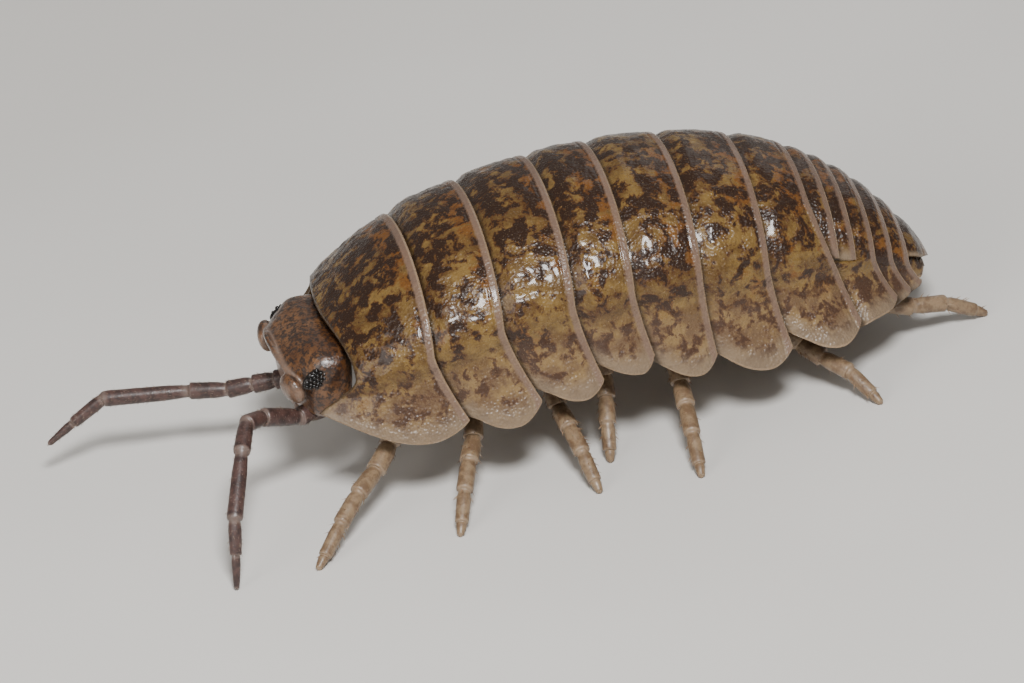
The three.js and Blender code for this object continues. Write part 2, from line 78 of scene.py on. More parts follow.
def flare(y):
    more = FLARE["more"] * np.exp(-(((y - FLARE["y"]) / FLARE["spread"]) ** 2))
    less = FLARE["less"] * smooth((y - FLARE["less_from"]) / FLARE["less_over"])
    return FLARE["start"] + more - less


def outer_form(y, v):
    side, a = np.where(v < 0, -1.0, 1.0), np.abs(v)
    low = RIM["height"] - RIM["dip"] * np.exp(-(((y - RIM["y"]) / RIM["spread"]) ** 2))
    top = crest_height(y)
    kink = mix(low, top, KINK_SHARE)
    turn = np.clip(a / KINK_V, 0, 1) * math.pi / 2
    q = np.clip((a - KINK_V) / (1 - KINK_V), 0, None)
    x = half_width(y) * np.sin(turn) + flare(y) * q**1.6
    z = np.where(a <= KINK_V, kink + (top - kink) * np.cos(turn), mix(kink, low, q))
    return np.stack([side * x, y + 0 * a, z], -1)


def inside_form(y, v, depth):
    """Points the given depth under the outer form, square to it."""
    h = 0.004
    along = outer_form(y + h, v) - outer_form(y - h, v)
    across = outer_form(y, v + h) - outer_form(y, v - h)
    normal = np.cross(across, along)
    normal /= np.linalg.norm(normal, axis=-1, keepdims=True)
    return outer_form(y, v) - normal * depth[..., None]


def over_floor(points):
    """Pitches the body head up, as it stands."""
    c, s = math.cos(PITCH), math.sin(PITCH)
    x, y, z = np.moveaxis(points, -1, 0)
    return np.stack([x, c * y - s * z, s * y + c * z], -1)


def to_row(points):
    return (points - BOX_MIDDLE) * MM


def grain(points, size, octaves=3):
    """Smooth random heights between about -1 and 1, with features of the given size."""
    flat = points.reshape(-1, 3) / size
    found = [noise.fractal(Vector(p), 1.0, 2.0, octaves) for p in flat]
    return np.array(found).reshape(points.shape[:-1])


def new_piece(name, points, faces, **values):
    """A mesh object from row-frame points, with one number a vertex for each named value."""
    mesh = bpy.data.meshes.new(name)
    mesh.from_pydata(points.reshape(-1, 3).tolist(), [], faces)
    mesh.validate()
    for key, numbers in values.items():
        kind = "FLOAT_VECTOR" if numbers.ndim > 1 and numbers.shape[-1] == 3 else "FLOAT"
        field = mesh.attributes.new(key, kind, "POINT")
        field.data.foreach_set("vector" if kind == "FLOAT_VECTOR" else "value", numbers.ravel())
    mesh.shade_smooth()
    piece = bpy.data.objects.new(name, mesh)
    bpy.context.scene.collection.objects.link(piece)
    return piece


def wear(piece, node, material):
    """Gives a piece its finish and puts it in the place of its solid."""
    if material:
        piece.data.materials.clear()
        piece.data.materials.append(material)
    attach(piece, "root")
    if node:
        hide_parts(node)


def slab_faces(rows, columns):
    """Faces of a sheet with an outer layer, an inner layer and the strip between them."""
    at = lambda layer, i, j: (layer * (rows + 1) + i) * (columns + 1) + j
    faces = []
    for i in range(rows):
        for j in range(columns):
            faces.append((at(0, i, j), at(0, i, j + 1), at(0, i + 1, j + 1), at(0, i + 1, j)))
            faces.append((at(1, i, j), at(1, i + 1, j), at(1, i + 1, j + 1), at(1, i, j + 1)))
        faces.append((at(0, i, 0), at(0, i + 1, 0), at(1, i + 1, 0), at(1, i, 0)))
        right = columns
        faces.append((at(0, i, right), at(1, i, right), at(1, i + 1, right), at(0, i + 1, right)))
    for j in range(columns):
        faces.append((at(0, 0, j), at(1, 0, j), at(1, 0, j + 1), at(0, 0, j + 1)))
        faces.append((at(0, rows, j), at(0, rows, j + 1), at(1, rows, j + 1), at(1, rows, j)))
    return faces


# the gap under the plate ahead, and how the sheet thins towards its edges
BODY_SHEET = dict(gap=0.045, thick=0.28, edge=0.065, thinning=0.7, fade=0.42)
SIDE_FROM, FULL_REACH = 0.67, 5.6
FRONT_EDGE, EDGE_ROUND, RIM_THINNING = 0.15, 0.06, 0.5
# depths of the relief: wide and small swells, dents of the flank, the arch of each plate,
# the crease over the side plate, the flat band at the hind edge and the groove before it
RELIEF = dict(wide=0.018, small=0.006, flank=0.03, arch=0.03, crease=0.03, band=0.01, groove=0.014)
CREASE = dict(v=0.765, spread=0.028)
BAND = dict(width=0.15, fade=0.04, groove=0.21, spread=0.03)


def side_share(v, start=SIDE_FROM):
    return np.clip((np.abs(v) - start) / (1 - start), 0, 1)


def hind_edge(hind, sweep, start=SIDE_FROM):
    return lambda v: hind + sweep * side_share(v, start) ** 1.4


def lobe_reach(reach, front_cut, hind_cut):
    """How far round a plate reaches, from its front, 0, to its hind edge, 1."""

    def at(s):
        front = front_cut * (1 - np.clip(s / 0.7, 0, 1)) ** 2
        return reach - front - hind_cut * np.clip((s - 0.7) / 0.3, 0, 1) ** 2

    return at


def back_plate(name, front_at, hind_at, before_at, reach_at, sheet, rows, columns, relief=1.0):
    """One plate, which keeps for its finish how far each point is from its edges."""
    r = np.linspace(0, 1, rows + 1)[:, None]
    s = 1 - (1 - r) ** 1.35
    c = np.linspace(-1, 1, columns + 1)[None, :]
    spread = 1.25 * c - 0.25 * c**3
    v = spread * reach_at(s)
    lap = before_at(v) - front_at(v) if before_at else 0 * v
    length = hind_at(v) - front_at(v)
    d = s * length
    hind, rim = length - d, (reach_at(s) - np.abs(v)) * FULL_REACH
    thinned = lambda left: mix(sheet["edge"], sheet["thick"], smooth(left / sheet["thinning"]))
    if before_at:
        fade = np.minimum(sheet["fade"], 0.8 * (length - lap))
        lift = np.where(
            d < lap,
            sheet["gap"] + thinned(lap - d),
            (sheet["gap"] + sheet["edge"]) * (1 - smooth((d - lap) / fade)),
        )
        front = mix(sheet["edge"], sheet["thick"], smooth(d / sheet["thinning"]))
        edge = np.minimum(hind, rim)
    else:
        lift, edge = 0 * v, np.minimum(np.minimum(hind, rim), d)
        front = mix(FRONT_EDGE, sheet["thick"], smooth(d / sheet["thinning"]))
    thickness = np.minimum(thinned(hind), front)
    at_rim = mix(sheet["edge"], sheet["thick"], smooth(rim / RIM_THINNING))
    thickness = np.minimum(thickness, at_rim)
    y = front_at(v) + d
    rest = outer_form(y, v)
    side = np.abs(v)
    flank = smooth((side - 0.18) / 0.14) * (1 - smooth((side - 0.56) / 0.12))
    middle = smooth((hind - 0.35) / 0.3) * smooth((d - lap - 0.15) / 0.3)
    swell = grain(rest * [1, 1.6, 1], 0.55, 2) * RELIEF["wide"]
    swell = swell + grain(rest, 0.16, 2) * RELIEF["small"]
    swell = swell + flank * middle * RELIEF["flank"] * grain(rest * [1, 0.7, 1.6] + 9, 0.26, 1)
    along = np.clip((d - lap) / (length - lap), 0, 1)
    swell = swell + RELIEF["arch"] * np.sin(math.pi * along) ** 0.7
    crease = np.exp(-(((side - CREASE["v"]) / CREASE["spread"]) ** 2))
    crease = RELIEF["crease"] * crease * smooth(rim / 0.4)
    groove = RELIEF["groove"] * np.exp(-(((hind - BAND["groove"]) / BAND["spread"]) ** 2))
    band = RELIEF["band"] * (1 - smooth((hind - BAND["width"]) / BAND["fade"])) - groove
    shown = smooth((d - lap + 0.1) / 0.2)
    outer = lift + shown * relief * (crease - band - swell * smooth(edge / 0.25))
    near = 1 - np.clip(edge / EDGE_ROUND, 0, 1)
    round_off = 0.05 * (1 - np.sqrt(1 - near**2))
    inner = lift + thickness - round_off * 0.8
    points = np.stack([inside_form(y, v, outer + round_off), inside_form(y, v, inner)])
    twice = lambda values: np.stack([values, values]).astype(np.float32)
    fields = dict(hind=hind, rim=rim, side=side, edge=edge, lap=d - lap)
    return new_piece(
        name,
        to_row(over_floor(points)),
        slab_faces(rows, columns),
        **{key: twice(field + 0 * v) for key, field in fields.items()},
    )


class Reading:
    """A shader number. Sums and products of readings become Math nodes."""

    def __init__(self, look, socket):
        self.look, self.socket = look, socket

    def made(self, operation, *terms):
        settings = dict(operation=operation)
        sockets = dict(enumerate(terms))
        return Reading(self.look, self.look.node("ShaderNodeMath", settings, sockets).outputs[0])

    def __add__(self, other):
        return self.made("ADD", self, other)

    __radd__ = __add__

    def __sub__(self, other):
        return self.made("SUBTRACT", self, other)

    def __rsub__(self, other):
        return self.made("SUBTRACT", other, self)

    def __mul__(self, other):
        return self.made("MULTIPLY", self, other)

    __rmul__ = __mul__


class Look:
    """One material: its shader, and the ways to read and mix what varies over the surface."""

    def __init__(self, name, **constants):
        self.material = bpy.data.materials.new(name)
        self.material.use_nodes = True
        self.tree = self.material.node_tree
        self.tree.nodes.clear()
        out = self.tree.nodes.new("ShaderNodeOutputMaterial")
        self.shader = self.node("ShaderNodeBsdfPrincipled", {}, constants)
        self.tree.links.new(self.shader.outputs[0], out.inputs["Surface"])

    def node(self, kind, settings, sockets):
        made = self.tree.nodes.new(kind)
        for key, value in settings.items():
            setattr(made, key, value)
        for key, value in sockets.items():
            if isinstance(value, Reading):
                self.tree.links.new(value.socket, made.inputs[key])
            else:
                made.inputs[key].default_value = value
        return made

    def place(self, stretch=(1, 1, 1)):
        coordinates = self.node("ShaderNodeTexCoord", {}, {})
        scaled = self.node(
            "ShaderNodeVectorMath",
            dict(operation="MULTIPLY"),
            {0: Reading(self, coordinates.outputs["Object"]), 1: stretch},
        )
        return Reading(self, scaled.outputs[0])

    def field(self, name):
        made = self.node("ShaderNodeAttribute", dict(attribute_name=name), {})
        return Reading(self, made.outputs["Fac"])

    def cloud(self, size, detail=4.0, roughness=0.6, distortion=0.0, stretch=(1, 1, 1)):
        """Noise between 0 and 1, with features of the given size in millimetres."""
        sockets = {"Vector": self.place(stretch), "Scale": 1 / (size * MM), "Detail": detail}
        sockets.update({"Roughness": roughness, "Distortion": distortion})
        return Reading(self, self.node("ShaderNodeTexNoise", {}, sockets).outputs["Fac"])

    def grains(self, size, smoothness=0.5):
        """Rounded granules of the given size: 0 in the middle of each."""
        settings = dict(feature="SMOOTH_F1")
        sockets = {"Vector": self.place(), "Scale": 1 / (size * MM), "Smoothness": smoothness}
        return Reading(self, self.node("ShaderNodeTexVoronoi", settings, sockets).outputs[0])

    def ramp(self, value, low, high, to_low=0.0, to_high=1.0):
        sockets = {"Value": value, "From Min": low, "From Max": high}
        sockets.update({"To Min": to_low, "To Max": to_high})
        settings = dict(interpolation_type="SMOOTHSTEP")
        return Reading(self, self.node("ShaderNodeMapRange", settings, sockets).outputs[0])

    def blend(self, amount, first, second):
        colour = lambda c: c if isinstance(c, Reading) else (*c, 1.0)
        sockets = {"Factor": amount, 6: colour(first), 7: colour(second)}
        made = self.node("ShaderNodeMix", dict(data_type="RGBA"), sockets)
        return Reading(self, made.outputs[2])

    def set(self, **readings):
        for key, reading in readings.items():
            self.tree.links.new(reading.socket, self.shader.inputs[key.replace("_", " ")])

    def bump(self, *layers):
        """Stacks relief: each layer is a height, its depth in millimetres and its strength."""
        normal = None
        for height, depth, strength in layers:
            sockets = {"Height": height, "Distance": depth * MM, "Strength": strength}
            if normal:
                sockets["Normal"] = normal
            normal = Reading(self, self.node("ShaderNodeBump", {}, sockets).outputs[0])
        self.set(Normal=normal)


SHELL_COLOURS = dict(
    khaki=(0.08, 0.042, 0.013),
    pale_khaki=(0.157, 0.094, 0.027),
    grain=(0.19, 0.12, 0.036),
    rust=(0.11, 0.034, 0.005),
    hem=(0.12, 0.073, 0.042),
    pale_hem=(0.195, 0.125, 0.058),
    brown=(0.06, 0.023, 0.0073),
    hem_brown=(0.082, 0.042, 0.022),
    dark=(0.018, 0.0081, 0.0046),
    hem_dark=(0.05, 0.025, 0.015),
    # painted glints: tiny pale specks that stand in for sparkle off the granules
    painted_glint=(0.28, 0.2, 0.11),
    fringe=(0.18, 0.13, 0.085),
    band=(0.155, 0.1, 0.072),
    line=(0.29, 0.2, 0.12),
    # painted shade: dark colour where each plate runs under the plate ahead and just behind that
    # plate's edge
    painted_shade_under_lap=(0.02, 0.012, 0.0066),
)


def shell_look(name, darker=0.0):
    """Glossy khaki cuticle with rusty fields, two depths of dark mottle and paler edges."""
    look = Look(
        name,
        **{"IOR": 1.45, "Coat Weight": 0.26, "Coat Roughness": 0.1, "Specular IOR Level": 0.3},
    )
    tint = SHELL_COLOURS
    side, hind, rim, edge = (look.field(key) for key in ("side", "hind", "rim", "edge"))
    region = look.cloud(1.3, 3, 0.5)
    spot = look.cloud(0.32, 6, 0.62, 0.35)
    tone = look.cloud(0.6, 4, 0.6, 0.3, (1.1, 0.9, 1.0))
    fine = look.cloud(0.08, 4, 0.65)
    crest = look.ramp(side, 0.05, 0.8, 1.0, 0.0)
    hem = look.ramp(side + 0.1 * spot, 0.74, 0.93)
    near_hind = look.ramp(hind, 0.22, 0.9, 1.0, 0.0)
    colour = look.blend(look.ramp(tone, 0.38, 0.64), tint["khaki"], tint["pale_khaki"])
    colour = look.blend(0.3 * look.ramp(fine, 0.4, 0.7), colour, tint["grain"])
    rusty = look.ramp(0.5 * tone + 0.5 * region + 0.16 * near_hind * crest, 0.56, 0.63)
    colour = look.blend(0.75 * rusty, colour, tint["rust"])
    hem_colour = look.blend(look.ramp(tone, 0.42, 0.6), tint["hem"], tint["pale_hem"])
    colour = look.blend(0.8 * hem, colour, hem_colour)
    mottle = spot + 0.2 * (fine - 0.5) + 0.3 * (region - 0.5) + 0.085 * crest + 0.035 * hem
    brown = look.ramp(mottle, 0.49 - darker, 0.56 - darker)
    colour = look.blend(0.9 * brown, colour, look.blend(hem, tint["brown"], tint["hem_brown"]))
    dark = look.ramp(mottle, 0.55 - darker, 0.6 - darker)
    colour = look.blend(0.92 * dark, colour, look.blend(hem, tint["dark"], tint["hem_dark"]))
    # Painted glints: tiny pale specks scattered over the shell in place of sparkle off the
    # granules.
    painted_glint = look.ramp(look.cloud(0.035, 2, 0.5), 0.64, 0.7)
    colour = look.blend(0.35 * painted_glint, colour, tint["painted_glint"])
    fringe = look.ramp(rim + 0.5 * (spot - 0.5), 0.12, 0.6, 0.85, 0.0)
    colour = look.blend(fringe, colour, tint["fringe"])
    band = look.ramp(hind + 0.1 * (fine - 0.5), 0.135, 0.2, 0.85, 0.0)
    colour = look.blend(band, colour, tint["band"])
    line = look.ramp(edge, 0.02, 0.05, 0.6, 0.0)
    colour = look.blend(line, colour, tint["line"])
    # Painted shade: the part of each plate under the plate ahead, and a thin strip just behind its
    # edge, darkened as if in its shadow.
    painted_shade_under_lap = look.ramp(look.field("lap"), 0.0, 0.14, 0.8, 0.0)
    colour = look.blend(painted_shade_under_lap, colour, tint["painted_shade_under_lap"])
    look.set(Base_Color=colour, Roughness=look.ramp(fine, 0.3, 0.7, 0.25, 0.42))
    look.bump((spot, 0.03, 0.35), (look.grains(0.07), 0.03, 0.6))
    return look.material


shell = shell_look("mottled shell")
# hind edge at the crest, backward sweep of the lobe, where the sweep starts, reach of the lobe,
# and how much its rounded front and hind corners leave out
RINGS = [
    (-4.79, 0.66, 0.67, 1.035, 0.13, 0.05),
    (-3.15, 0.66, 0.67, 1.07, 0.16, 0.06),
    (-1.47, 0.5, 0.67, 1.045, 0.15, 0.06),
    (-0.06, 0.42, 0.67, 0.995, 0.13, 0.06),
    (1.57, 0.16, 0.67, 1.04, 0.12, 0.06),
    (3.21, 0.3, 0.67, 1.07, 0.15, 0.06),
    (4.48, 0.86, 0.3, 1.045, 0.16, 0.07),
]


# the front edge of the first plate: level over the head, with a corner forward on each side
SHIELD = dict(front=-6.9, recess=0.33, corner=0.86, corner_from=0.62, corner_over=0.3)


def shield_front(v):
    a = np.abs(v)
    recess = SHIELD["recess"] * smooth(a / SHIELD["corner_from"])
    corner = SHIELD["corner"] * smooth((a - SHIELD["corner_from"]) / SHIELD["corner_over"])
    return SHIELD["front"] + recess - corner


BODY_LAP, BODY_ROWS, BODY_COLUMNS = 0.45, 74, 300
before = None
for number, (hind, sweep, start, reach, front_cut, hind_cut) in enumerate(RINGS, 1):
    hind_at = hind_edge(hind, sweep, start)
    front_at = shield_front
    if before:
        front_at = lambda v, edge=before: edge(v) - BODY_LAP + 0.2 * side_share(v)
    name = f"pereonite_{number}"
    reach_at = lobe_reach(reach, front_cut, hind_cut)
    size = BODY_SHEET, BODY_ROWS, BODY_COLUMNS
    plate = back_plate(name + "_shell", front_at, hind_at, before, reach_at, *size)
    wear(plate, name, shell)
    before = hind_at

# Tail plates: five narrow rings, the small shield that ends the back and the flat branch on each
# side of it. They are the same mottled cuticle, thinner and darker, and lie like roof tiles.
TAIL_SHEET = dict(gap=0.045, thick=0.15, edge=0.055, thinning=0.4, fade=0.3)
# hind edge at the crest, backward sweep of the side plate, and how far round the ring reaches
TAIL_RINGS = [
    (4.98, 0.05, 0.66),
    (5.42, 0.05, 0.68),
    (5.94, 0.55, 1),
    (6.42, 0.46, 1),
    (6.86, 0.36, 1),
]
TAIL_LAP, TAIL_RELIEF, TAIL_ROWS, TAIL_COLUMNS = 0.26, 0.6, 40, 220
TUCK = dict(start=0.655, over=0.05)
# the end shield: its tip, how far round it reaches in front, how it narrows and rounds off
SHIELD_END = dict(tip=7.52, reach=0.62, narrowing=0.12, corner=0.2, rows=48, columns=150)
tail_shell = shell_look("mottled tail shell", 0.04)
last_ring = before
for number, (hind, sweep, reach) in enumerate(TAIL_RINGS, 1):
    hind_at = hind_edge(hind, sweep)
    if number == 3:
        # the first side plates of the tail start under the last big side plate
        second = before
        tuck = lambda v: smooth((np.abs(v) - TUCK["start"]) / TUCK["over"])
        before = lambda v: mix(second(v), last_ring(v), tuck(v))
    front_at = lambda v, edge=before: edge(v) - TAIL_LAP
    name = f"pleonite_{number}"
    reach_at = lobe_reach(reach, 0, 0.05 if reach == 1 else 0)
    size = TAIL_SHEET, TAIL_ROWS, TAIL_COLUMNS, TAIL_RELIEF
    plate = back_plate(name + "_shell", front_at, hind_at, before, reach_at, *size)
    wear(plate, name, tail_shell)
    before = hind_at


def shield_reach(s):
    corner = SHIELD_END["corner"] * np.clip((s - 0.6) / 0.4, 0, 1) ** 2
    return SHIELD_END["reach"] - SHIELD_END["narrowing"] * s - corner


plate = back_plate(
    "pleotelson_shell",
    lambda v: before(v) - TAIL_LAP,
    lambda v: SHIELD_END["tip"] + 0 * v,
    before,
    shield_reach,
    TAIL_SHEET,
    SHIELD_END["rows"],
    SHIELD_END["columns"],
    TAIL_RELIEF,
)
wear(plate, "pleotelson", tail_shell)

BRANCH = dict(front=6.72, hind=7.5, corner=0.17, outer=0.9, thick=0.24, soft=0.12)
# its inner edge round the arch and its depth under the outer form, from front to hind
BRANCH_INNER, BRANCH_DEPTH, BRANCH_ROWS, BRANCH_COLUMNS = (0.5, 0.3), (0.3, 0.11), 30, 24
for label, sign in (("left", 1), ("right", -1)):
    s = np.linspace(0, 1, BRANCH_ROWS + 1)[:, None]
    u = np.linspace(0, 1, BRANCH_COLUMNS + 1)[None, :]
    v = sign * mix(mix(*BRANCH_INNER, s), BRANCH["outer"], u)
    hind = BRANCH["hind"] - BRANCH["corner"] * np.clip(2 * u - 1, 0, 1) ** 2
    y = mix(BRANCH["front"], hind, s)
    depth = mix(*BRANCH_DEPTH, s)
    edge = np.minimum(np.minimum(u, 1 - u) * 0.9, np.minimum(s, 1 - s) * 0.8)
    near = 1 - np.clip(edge / BRANCH["soft"], 0, 1)
    soft = BRANCH["soft"] * (1 - np.sqrt(1 - near**2))
    under = depth + BRANCH["thick"] - soft
    layers = [inside_form(y, v, depth + soft), inside_form(y, v, under)]
    points = to_row(over_floor(np.stack(layers)))
    twice = lambda values: np.stack([values, values]).astype(np.float32)
    fields = dict(hind=edge + 0.4, rim=edge + 0.3, side=0.6 + 0 * edge, edge=edge, lap=1 + edge)
    fields = {key: twice(field) for key, field in fields.items()}
    faces = slab_faces(BRANCH_ROWS, BRANCH_COLUMNS)
    branch = new_piece(f"uropod_{label}_shell", points, faces, **fields)
    if sign < 0:
        branch.data.flip_normals()
    wear(branch, f"uropod_{label}", tail_shell)

# Head: a rounded capsule of reddish-brown cuticle with a raised pale front edge and a lobe over
# the socket of each feeler. Its forms are shaped apart and then melted into one skin.
HEAD = dict(half=1.86, squareness=4.2, taper=0.1, bow=0.13)
HEAD_RIDGE = dict(half=1.66, y=-8.0, z=2.62, droop=0.17, thick=0.1)
HEAD_MIDDLE, TAPER_FROM, TAPER_OVER, BOW_OVER = (-7.2, 2.2), -7.0, 0.7, 0.9
HEAD_GRID, HEAD_PASSES = 0.04, 5
HEAD_PROFILE = [
    (-6.35, 2.2),
    (-6.45, 2.95),
    (-6.9, 3.07),
    (-7.45, 3.0),
    (-7.95, 2.68),
    (-8.03, 2.45),
    (-7.9, 2.2),
    (-7.84, 1.75),
    (-7.65, 1.35),
    (-7.05, 1.2),
    (-6.5, 1.5),
]


def loft_faces(rings, sides):
    faces = []
    for i in range(rings - 1):
        for j in range(sides):
            a, b = i * sides + j, i * sides + (j + 1) % sides
            faces.append((a, b, b + sides, a + sides))
    faces.append(tuple(range(sides))[::-1])
    faces.append(tuple((rings - 1) * sides + j for j in range(sides)))
    return faces


def closed_curve(points, count):
    """Points evenly through a closed loop, by the uniform Catmull-Rom rule."""
    p = np.array(points, float)
    t = np.arange(count) * len(p) / count
    i, f = np.floor(t).astype(int), (t % 1)[:, None]
    a, b, c, d = (p[(i + k) % len(p)] for k in (-1, 0, 1, 2))
    return b + 0.5 * f * (c - a + f * (2 * a - 5 * b + 4 * c - d + f * (3 * (b - c) + d - a)))


def ball(centre, radii, turn=(0, 0, 0), around=32, down=20):
    """Points and faces of an ellipsoid in millimetres."""
    spin = np.array(Matrix.Rotation(turn[0], 3, "X") @ Matrix.Rotation(turn[1], 3, "Y"))
    spin = spin @ np.array(Matrix.Rotation(turn[2], 3, "Z"))
    polar = np.linspace(0.02, math.pi - 0.02, down)[:, None]
    angle = np.arange(around)[None, :] * 2 * math.pi / around
    across, height = np.sin(polar), np.cos(polar) + 0 * angle
    unit = np.stack([across * np.cos(angle), across * np.sin(angle), height], -1)
    points = unit * radii @ spin.T + centre
    return points.reshape(-1, 3), loft_faces(down, around)


def melted(name, parts, grid, passes):
    """Joins closed forms into one skin in millimetres and returns its points and faces."""
    points, faces = [], []
    for part_points, part_faces in parts:
        offset = sum(len(p) for p in points)
        points.append(part_points)
        faces += [tuple(i + offset for i in face) for face in part_faces]
    rough = new_piece(name + "_rough", np.concatenate(points), faces)
    weld = rough.modifiers.new("weld", "REMESH")
    weld.mode, weld.voxel_size, weld.adaptivity = "VOXEL", grid, 0
    soften = rough.modifiers.new("soften", "SMOOTH")
    soften.factor, soften.iterations = 0.5, passes
    evaluated = rough.evaluated_get(bpy.context.evaluated_depsgraph_get())
    mesh = bpy.data.meshes.new_from_object(evaluated)
    co = np.empty(len(mesh.vertices) * 3)
    mesh.vertices.foreach_get("co", co)
    skin_faces = [tuple(face.vertices) for face in mesh.polygons]
    bpy.data.objects.remove(rough)
    bpy.data.meshes.remove(mesh)
    return co.reshape(-1, 3), skin_faces


def head_capsule():
    around, stations = 96, 90
    outline = closed_curve(HEAD_PROFILE, around)
    middle = np.array(HEAD_MIDDLE)
    angle = np.linspace(-math.pi / 2 + 0.03, math.pi / 2 - 0.03, stations)
    share = (1 - np.abs(np.sin(angle)) ** HEAD["squareness"]) ** (1 / HEAD["squareness"])
    yz = middle + (outline[None] - middle) * share[:, None, None]
    x = (HEAD["half"] * np.sin(angle))[:, None] + 0 * yz[..., 0]
    y = yz[..., 0]
    narrow = x * (1 - HEAD["taper"] * smooth((TAPER_FROM - y) / TAPER_OVER))
    bent = y + HEAD["bow"] * narrow * narrow * smooth((HEAD_MIDDLE[0] - y) / BOW_OVER)
    skin = np.stack([narrow, bent, yz[..., 1]], -1)
    return skin.reshape(-1, 3), loft_faces(stations, around)


def ridge_line(t):
    x = HEAD_RIDGE["half"] * t
    y = HEAD_RIDGE["y"] + HEAD["bow"] * x * x
    return np.stack([x, y, HEAD_RIDGE["z"] - HEAD_RIDGE["droop"] * x * x], -1)


def head_ridge():
    around, stations = 14, 60
    t = np.linspace(-1, 1, stations)[:, None]
    angle = np.arange(around)[None, :] * 2 * math.pi / around
    tall = (0.12 + 0.1 * np.exp(-((t / 0.32) ** 2))) * np.sqrt(np.maximum(0.12, 1 - t**6))
    lean = tall * np.sin(angle)
    line = ridge_line(t + 0 * angle)
    line[..., 1] += HEAD_RIDGE["thick"] * np.cos(angle) - 0.4 * lean
    line[..., 2] += lean
    return line.reshape(-1, 3), loft_faces(stations, around)


lobes = [ball((s * 1.42, -7.84, 2.12), (0.42, 0.2, 0.36), (0.25, 0, s * 0.35)) for s in (-1, 1)]
forms = [head_capsule(), head_ridge(), *lobes]
head_points, head_faces = melted("head", forms, HEAD_GRID, HEAD_PASSES)
x, y, z = head_points.T
nearest = ridge_line(np.clip(x / HEAD_RIDGE["half"], -1, 1))
ridge_gap = np.linalg.norm(head_points - nearest, axis=1)
pale = (1 - smooth((ridge_gap - 0.1) / 0.1)).astype(np.float32)
face = smooth((2.45 - z) / 0.3) * smooth((-7.45 - y) / 0.2)
head_points = head_points + (grain(head_points, 0.3, 3) * 0.012)[:, None] * [0, -0.4, 1]
head = new_piece(
    "head_shell",
    to_row(over_floor(head_points)),
    head_faces,
    pale=pale,
    face=face.astype(np.float32),
)

head_skin = Look("head shell", **{"IOR": 1.5, "Coat Weight": 0.4, "Coat Roughness": 0.2})
mid, fine = head_skin.cloud(0.15, 6, 0.7, 0.2), head_skin.cloud(0.06, 4, 0.6)
wide = head_skin.ramp(head_skin.cloud(0.8), 0.4, 0.62)
brown = head_skin.blend(wide, (0.07, 0.027, 0.009), (0.135, 0.06, 0.022))
marks = head_skin.ramp(0.65 * mid + 0.35 * fine, 0.465, 0.54)
colour = head_skin.blend(0.9 * marks, brown, (0.016, 0.009, 0.007))
colour = head_skin.blend(0.75 * head_skin.field("face"), colour, (0.19, 0.115, 0.075))
colour = head_skin.blend(0.75 * head_skin.field("pale"), colour, (0.18, 0.12, 0.088))
head_skin.set(Base_Color=colour, Roughness=head_skin.ramp(fine, 0.3, 0.7, 0.28, 0.48))
head_skin.bump((mid, 0.03, 0.3), (head_skin.grains(0.07), 0.02, 0.5))
wear(head, "head", head_skin.material)

# Eyes: a small oval patch of glossy black lenses on each side of the head. The lenses are one
# round bead, repeated over the oval in staggered rows.
EYE = dict(place=(1.73, -7.33, 2.46), long=0.37, tall=0.2, deep=0.13, tilt=0.42, turn=0.25)
LENS = dict(radius=0.052, along=0.098, up=0.084)


def tree_with(name, inputs, build):
    """A Geometry Nodes tree with named inputs. build gets a node maker and the inputs."""
    tree = bpy.data.node_groups.new(name, "GeometryNodeTree")
    tree.interface.new_socket("Geometry", in_out="INPUT", socket_type="NodeSocketGeometry")
    for key, value in inputs.items():
        kind = "NodeSocketInt" if isinstance(value, int) else "NodeSocketFloat"
        tree.interface.new_socket(key, in_out="INPUT", socket_type=kind)
    tree.interface.new_socket("Geometry", in_out="OUTPUT", socket_type="NodeSocketGeometry")

    def node(kind, settings=None, **sockets):
        made = tree.nodes.new(kind)
        for key, value in (settings or {}).items():
            setattr(made, key, value)
        for key, value in sockets.items():
            target = made.inputs[key.replace("_", " ")]
            if hasattr(value, "links"):
                tree.links.new(value, target)
            else:
                target.default_value = value
        return made

    entry = tree.nodes.new("NodeGroupInput")
    result = build(node, entry.outputs)
    leave = tree.nodes.new("NodeGroupOutput")
    tree.links.new(result, leave.inputs[0])
    return tree


def grown(base, tree, inputs, name):
    """Runs a tree on a piece and returns the plain mesh that it makes as a new piece."""
    holder = bpy.data.objects.new(name + "_seed", base.data.copy())
    bpy.context.scene.collection.objects.link(holder)
    modifier = holder.modifiers.new("grow", "NODES")
    modifier.node_group = tree
    for item in tree.interface.items_tree:
        if item.in_out == "INPUT" and item.name in inputs:
            modifier[item.identifier] = inputs[item.name]
    evaluated = holder.evaluated_get(bpy.context.evaluated_depsgraph_get())
    mesh = bpy.data.meshes.new_from_object(evaluated)
    mesh.name = name
    holder.modifiers.remove(modifier)
    bpy.data.objects.remove(holder)
    piece = bpy.data.objects.new(name, mesh)
    bpy.context.scene.collection.objects.link(piece)
    return piece


lens = Look("black lens", **{"Base Color": (0.006, 0.005, 0.005, 1), "Roughness": 0.1})
patch = lens.ramp(lens.cloud(0.05), 0.4, 0.7)
lens.set(Base_Color=lens.blend(patch, (0.004, 0.004, 0.004), (0.02, 0.014, 0.012)))


def bead_tree(node, inputs):
    """One round bead on each point."""
    bead = node("GeometryNodeMeshIcoSphere", Radius=inputs["Lens radius"], Subdivisions=3)
    points = inputs["Geometry"]
    spots = node("GeometryNodeInstanceOnPoints", Points=points, Instance=bead.outputs[0])
    solid = node("GeometryNodeRealizeInstances", Geometry=spots.outputs[0])
    even = node("GeometryNodeSetShadeSmooth", Geometry=solid.outputs[0])
    dressed = node("GeometryNodeSetMaterial", Geometry=even.outputs[0], Material=lens.material)
    return dressed.outputs[0]


